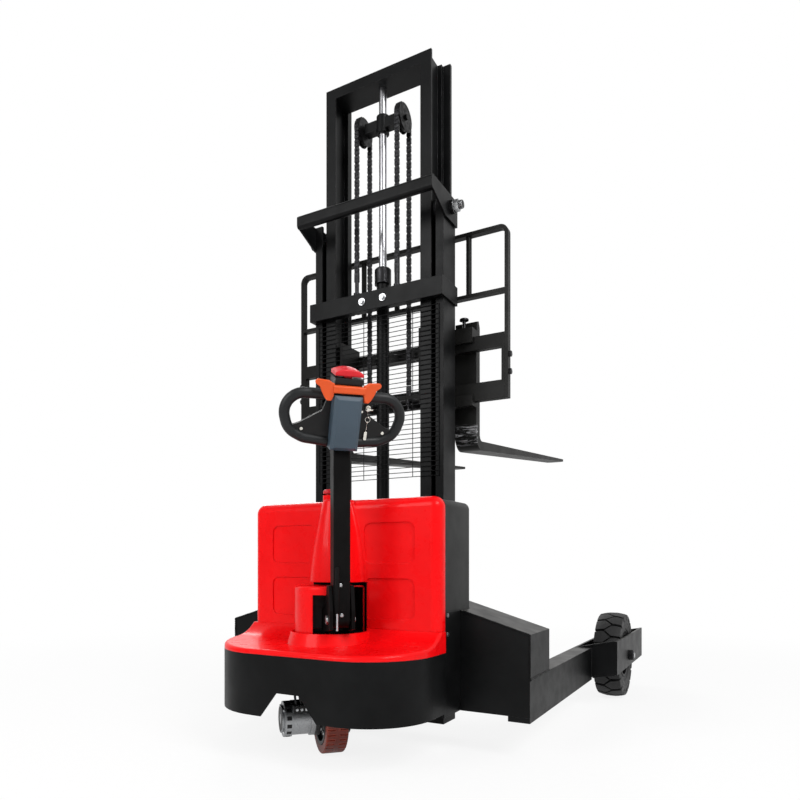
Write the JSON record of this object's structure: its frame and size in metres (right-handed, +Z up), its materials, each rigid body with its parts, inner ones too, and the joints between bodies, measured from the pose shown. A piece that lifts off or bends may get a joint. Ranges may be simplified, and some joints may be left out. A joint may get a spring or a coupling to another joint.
{
  "type": "rough terrain pallet stacker",
  "caption": "Walk-behind electric stacker with a two-stage mast, forks on a carriage, straddle legs on lugged wheels and a steered drive wheel under a tiller.",
  "frame": {"origin": "middle of the bounding box, on the ground", "axes": "+X is the operator's right, +Y runs from the operator to the fork tips, +Z is up"},
  "size_m": [1.546, 2.1821, 2.569],
  "materials": {
    "red_paint": "glossy moulded",
    "black_frame": "satin paint",
    "inner_black": "satin paint",
    "fork_black": "worn satin paint",
    "cabinet_black": "satin paint",
    "bolt_steel": "zinc plated",
    "dark_steel": "oiled",
    "rod_chrome": "hard chrome",
    "roller_steel": "ground",
    "motor_alloy": "cast, machined",
    "hub_iron": "as cast",
    "drive_tread": "polyurethane tread",
    "tyre_rubber": "ribbed",
    "rim_paint": "satin paint",
    "cable_rubber": "smooth",
    "battery_case": "matt",
    "hydraulic_parts": "machined",
    "tiller_black": "satin paint",
    "grip_rubber": "soft grained",
    "box_slate": "fine grain",
    "throttle_orange": "satin",
    "button_red": "glossy",
    "head_black": "fine grain",
    "key_metal": "plated",
    "mesh_wire": "powder coat"
  },
  "bodies": {
    "chassis": {"chassis_frame": "black_frame", "outriggers": "black_frame", "straddle_legs": "black_frame", "front_skirt": "black_frame", "deck_cover": "red_paint", "upper_cover": "red_paint", "rear_cabinet": "cabinet_black", "battery": "battery_case", "power_pack": "hydraulic_parts", "motor_controller": "hydraulic_parts", "outer_mast": "black_frame", "mid_beam": "black_frame", "top_guard": "black_frame", "mesh_guard": "mesh_wire", "frame_bolts": "bolt_steel", "axle_bolts": "bolt_steel", "lift_barrel": "black_frame", "cylinder_gland": "dark_steel", "front_chain_anchors": "dark_steel", "bearing_outer_ring": "roller_steel"},
    "inner_mast": {"inner_mast": "inner_black", "piston_rod": "rod_chrome", "chain_yoke": "inner_black", "lift_chains": "dark_steel"},
    "chain_wheels": {"chain_wheels": "roller_steel"},
    "outer_rollers": {"outer_rollers": "roller_steel"},
    "inner_rollers": {"inner_rollers": "roller_steel"},
    "carriage": {"carriage_frame": "fork_black", "fork_bars": "fork_black", "backrest": "fork_black", "carriage_bolts": "dark_steel"},
    "carriage_rollers_lower": {"carriage_rollers_lower": "roller_steel"},
    "carriage_rollers_upper": {"carriage_rollers_upper": "roller_steel"},
    "fork_left": {"fork_left": "fork_black"},
    "fork_right": {"fork_right": "fork_black"},
    "fork_pin_left": {"fork_pin_left": "dark_steel"},
    "fork_pin_right": {"fork_pin_right": "dark_steel"},
    "steering": {"bearing_inner_ring": "roller_steel", "steer_stem": "tiller_black", "drive_bracket": "hub_iron", "traction_motor": "motor_alloy", "motor_cables": "cable_rubber", "tiller_cup": "red_paint", "pivot_pin": "bolt_steel"},
    "drive_wheel": {"drive_hub": "hub_iron", "drive_tyre": "drive_tread"},
    "tiller": {"tiller_arm": "tiller_black", "tiller_web": "head_black", "tiller_loops": "grip_rubber", "control_box": "box_slate", "head_block": "head_black", "tiller_fittings": "key_metal"},
    "throttle": {"throttle": "throttle_orange"},
    "belly_button": {"belly_button": "button_red"},
    "key": {"key": "key_metal"},
    "estop_button": {"estop_button": "button_red"},
    "load_wheel_left": {"load_tyre_left": "tyre_rubber", "load_rim_left": "rim_paint"},
    "load_wheel_right": {"load_tyre_right": "tyre_rubber", "load_rim_right": "rim_paint"}
  },
  "joints": [
    {"name": "mast_lift", "type": "slide", "parent": "chassis", "child": "inner_mast", "axis": [0, 0, 1], "range_m": [-0.52, 0.93], "deforming": ["lift_chains"]},
    {"name": "carriage_lift", "type": "slide", "parent": "inner_mast", "child": "carriage", "axis": [0, 0, 1], "range_m": [-0.52, 0.93]},
    {"name": "chain_wheel_turn", "type": "hinge", "parent": "inner_mast", "child": "chain_wheels", "pos_m": [0, -0.42794, 2.385], "axis": [1, 0, 0], "continuous": true},
    {"name": "outer_roller_turn", "type": "hinge", "parent": "chassis", "child": "outer_rollers", "pos_m": [0, -0.42794, 1.985], "axis": [1, 0, 0], "continuous": true},
    {"name": "inner_roller_turn", "type": "hinge", "parent": "inner_mast", "child": "inner_rollers", "pos_m": [0, -0.42794, 0.662], "axis": [1, 0, 0], "continuous": true},
    {"name": "carriage_roller_lower_turn", "type": "hinge", "parent": "carriage", "child": "carriage_rollers_lower", "pos_m": [0, -0.42794, 1.3], "axis": [1, 0, 0], "continuous": true},
    {"name": "carriage_roller_upper_turn", "type": "hinge", "parent": "carriage", "child": "carriage_rollers_upper", "pos_m": [0, -0.42794, 1.5], "axis": [1, 0, 0], "continuous": true},
    {"name": "fork_left_shift", "type": "slide", "parent": "carriage", "child": "fork_left", "axis": [1, 0, 0], "range_m": [-0.1, 0.05]},
    {"name": "fork_right_shift", "type": "slide", "parent": "carriage", "child": "fork_right", "axis": [1, 0, 0], "range_m": [-0.05, 0.1]},
    {"name": "fork_pin_left_drop", "type": "slide", "parent": "fork_left", "child": "fork_pin_left", "axis": [0, 0, -1], "range_m": [0, 0.01]},
    {"name": "fork_pin_right_drop", "type": "slide", "parent": "fork_right", "child": "fork_pin_right", "axis": [0, 0, -1], "range_m": [0, 0.01]},
    {"name": "steer", "type": "hinge", "parent": "chassis", "child": "steering", "pos_m": [0, -0.80294, 0.33], "axis": [0, 0, 1], "range_deg": [-137, 43]},
    {"name": "drive_wheel_spin", "type": "hinge", "parent": "steering", "child": "drive_wheel", "pos_m": [0, -0.80294, 0.125], "axis": [0.682, 0.7314, 0], "continuous": true},
    {"name": "tiller_tilt", "type": "hinge", "parent": "steering", "child": "tiller", "pos_m": [0.10897, -0.90455, 0.47], "axis": [0.682, 0.7314, 0], "range_deg": [0, 78], "stiffness_Nm_per_rad": 30, "springref_deg": -40.11},
    {"name": "throttle_turn", "type": "hinge", "parent": "tiller", "child": "throttle", "pos_m": [0.19375, -0.98362, 1.18798], "axis": [0.682, 0.7314, 0], "range_deg": [-20, 20], "stiffness_Nm_per_rad": 0.6},
    {"name": "belly_button_press", "type": "slide", "parent": "tiller", "child": "belly_button", "axis": [-0.3091, 0.2882, -0.9063], "range_m": [0, 0.005], "stiffness_N_per_m": 900, "springref_m": -0.006},
    {"name": "key_turn", "type": "hinge", "parent": "tiller", "child": "key", "pos_m": [0.20974, -0.89598, 1.14641], "axis": [0.6628, -0.6181, -0.4226], "range_deg": [-60, 0]},
    {"name": "estop_press", "type": "slide", "parent": "chassis", "child": "estop_button", "axis": [0, 0, -1], "range_m": [0, 0.005], "stiffness_N_per_m": 900, "springref_m": -0.004},
    {"name": "load_wheel_left_spin", "type": "hinge", "parent": "chassis", "child": "load_wheel_left", "pos_m": [-0.674, 0.69106, 0.204], "axis": [1, 0, 0], "continuous": true},
    {"name": "load_wheel_right_spin", "type": "hinge", "parent": "chassis", "child": "load_wheel_right", "pos_m": [0.674, 0.69106, 0.204], "axis": [1, 0, 0], "continuous": true}
  ],
  "couplings": [
    {"joint": "carriage_lift", "follows": "mast_lift", "ratio": 1},
    {"joint": "chain_wheel_turn", "follows": "mast_lift", "rad_per_m": 20},
    {"joint": "outer_roller_turn", "follows": "mast_lift", "rad_per_m": -23.981},
    {"joint": "inner_roller_turn", "follows": "mast_lift", "rad_per_m": 23.981},
    {"joint": "carriage_roller_lower_turn", "follows": "mast_lift", "rad_per_m": 23.981},
    {"joint": "carriage_roller_upper_turn", "follows": "mast_lift", "rad_per_m": -23.981}
  ]
}
